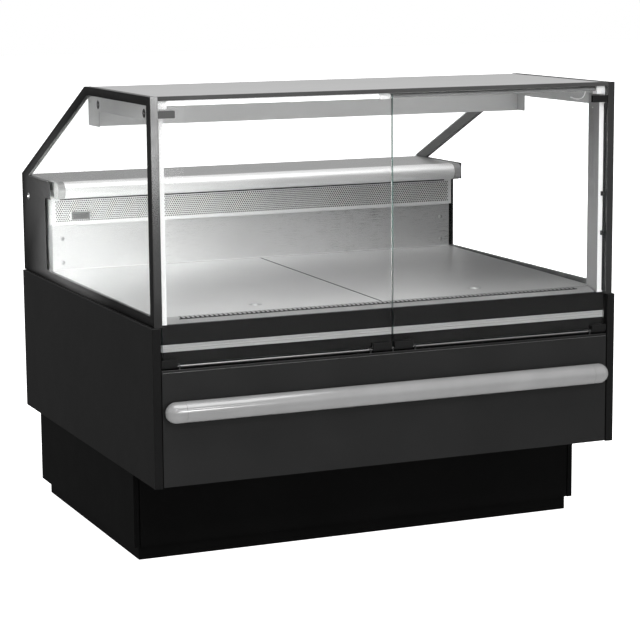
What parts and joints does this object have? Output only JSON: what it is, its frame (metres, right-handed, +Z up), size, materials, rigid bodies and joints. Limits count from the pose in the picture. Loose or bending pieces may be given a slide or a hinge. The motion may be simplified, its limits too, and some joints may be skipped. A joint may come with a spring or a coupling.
{
  "type": "refrigerated deli case",
  "caption": "Serve-over refrigerated deli case with tilting front glass, glazed ends, a lift-out stainless deck and a fan-cooled unit in the base.",
  "frame": {"origin": "on the floor, under the middle of the case's bounding box", "axes": "+Z up; +Y towards the staff side at the back; +X to the right, seen from the front"},
  "size_m": [1.33, 1.2279, 1.226],
  "materials": {
    "black_coat": "satin black powder coat",
    "black_band": "smooth black",
    "grey_coat": "satin light grey powder coat",
    "stainless": "brushed along the length",
    "aluminium_satin": "satin anodised",
    "galvanised": "galvanised sheet",
    "rod_steel": "turned",
    "grey_plastic": "fine matte grain",
    "black_plastic": "matte",
    "white_plastic": "smooth",
    "clear_glass": "clear float glass with a pale green edge",
    "border_glass": "black border",
    "foam_skin": "foamed core in a pale skin",
    "coil_fins": "thin fins",
    "compressor_paint": "gloss black",
    "lamp_white": "diffusing tube",
    "display_black": "dark window"
  },
  "bodies": {
    "case": {"plinth_frame": "black_coat", "base_tray": "galvanised", "base_side_panels": "black_coat", "kick_panel": "black_coat", "rear_vent_panel": "black_coat", "mains_gland": "black_plastic", "compressor": "compressor_paint", "condenser_coil": "coil_fins", "condenser_fan_shroud": "galvanised", "evaporator_coil": "coil_fins", "fan_plate": "galvanised", "fan_motors": "rod_steel", "end_panels": "black_coat", "insulated_tub": "foam_skin", "front_panel": "black_coat", "upper_front_panel": "black_coat", "trim_strip": "aluminium_satin", "bumper_rail": "grey_plastic", "bumper_end_caps": "grey_plastic", "bumper_mounting_base": "black_plastic", "hinge_profile": "aluminium_satin", "hinge_rod": "rod_steel", "intake_grille": "stainless", "rear_wall_panel": "stainless", "air_outlet_panel": "stainless", "thermometer": "display_black", "nose_rail": "aluminium_satin", "nose_end_caps": "grey_plastic", "worktop": "stainless", "rear_body_panel": "stainless", "switch_housings": "black_plastic", "temperature_controller": "display_black", "side_panes": "clear_glass", "side_glass_borders": "border_glass", "front_edge_trims": "black_plastic", "corner_posts": "grey_coat", "roof_brackets": "galvanised", "roof_panel": "stainless", "roof_front_band": "black_band", "canopy_channel": "grey_coat", "lamp_tubes": "lamp_white", "lamp_holders": "white_plastic", "lamp_lead": "white_plastic", "screws": "rod_steel"},
    "glass_left": {"front_glass_left": "clear_glass", "hinge_clamps_left": "black_plastic", "glass_catch_left": "black_plastic"},
    "glass_right": {"front_glass_right": "clear_glass", "hinge_clamps_right": "black_plastic", "glass_catch_right": "black_plastic"},
    "left_deck": {"deck_left": "stainless"},
    "right_deck": {"deck_right": "stainless"},
    "left_fan": {"evaporator_fan_wheel_left": "black_plastic"},
    "right_fan": {"evaporator_fan_wheel_right": "black_plastic"},
    "condenser_fan": {"condenser_fan_wheel": "aluminium_satin"},
    "light_rocker": {"light_switch": "black_plastic"},
    "mains_rocker": {"mains_switch": "black_plastic"},
    "down_key": {"down_button": "grey_plastic"},
    "up_key": {"up_button": "grey_plastic"},
    "set_key": {"set_button": "grey_plastic"}
  },
  "joints": [
    {"name": "left_glass_tilt", "type": "hinge", "parent": "case", "child": "glass_left", "pos_m": [-0.32, -0.565, 0.55], "axis": [1, 0, 0], "range_deg": [0, 60]},
    {"name": "right_glass_tilt", "type": "hinge", "parent": "case", "child": "glass_right", "pos_m": [0.32, -0.565, 0.55], "axis": [1, 0, 0], "range_deg": [0, 60]},
    {"name": "left_deck_lift", "type": "slide", "parent": "case", "child": "left_deck", "axis": [0, 0, 1], "range_m": [0, 0.12]},
    {"name": "right_deck_lift", "type": "slide", "parent": "case", "child": "right_deck", "axis": [0, 0, 1], "range_m": [0, 0.12]},
    {"name": "left_fan_spin", "type": "hinge", "parent": "case", "child": "left_fan", "pos_m": [-0.3, -0.015, 0.42], "axis": [0, 1, 0], "continuous": true},
    {"name": "right_fan_spin", "type": "hinge", "parent": "case", "child": "right_fan", "pos_m": [0.3, -0.015, 0.42], "axis": [0, 1, 0], "continuous": true},
    {"name": "condenser_fan_spin", "type": "hinge", "parent": "case", "child": "condenser_fan", "pos_m": [0.25, 0.391, 0.145], "axis": [0, 1, 0], "continuous": true},
    {"name": "light_rocker_tip", "type": "hinge", "parent": "case", "child": "light_rocker", "pos_m": [-0.2, 0.59, 0.85], "axis": [1, 0, 0], "range_deg": [0, 14]},
    {"name": "mains_rocker_tip", "type": "hinge", "parent": "case", "child": "mains_rocker", "pos_m": [-0.16, 0.59, 0.85], "axis": [1, 0, 0], "range_deg": [0, 14]},
    {"name": "down_key_press", "type": "slide", "parent": "case", "child": "down_key", "axis": [0, -1, 0], "range_m": [0, 0.001], "stiffness_N_per_m": 400, "springref_m": -0.0005},
    {"name": "up_key_press", "type": "slide", "parent": "case", "child": "up_key", "axis": [0, -1, 0], "range_m": [0, 0.001], "stiffness_N_per_m": 400, "springref_m": -0.0005},
    {"name": "set_key_press", "type": "slide", "parent": "case", "child": "set_key", "axis": [0, -1, 0], "range_m": [0, 0.001], "stiffness_N_per_m": 400, "springref_m": -0.0005}
  ]
}
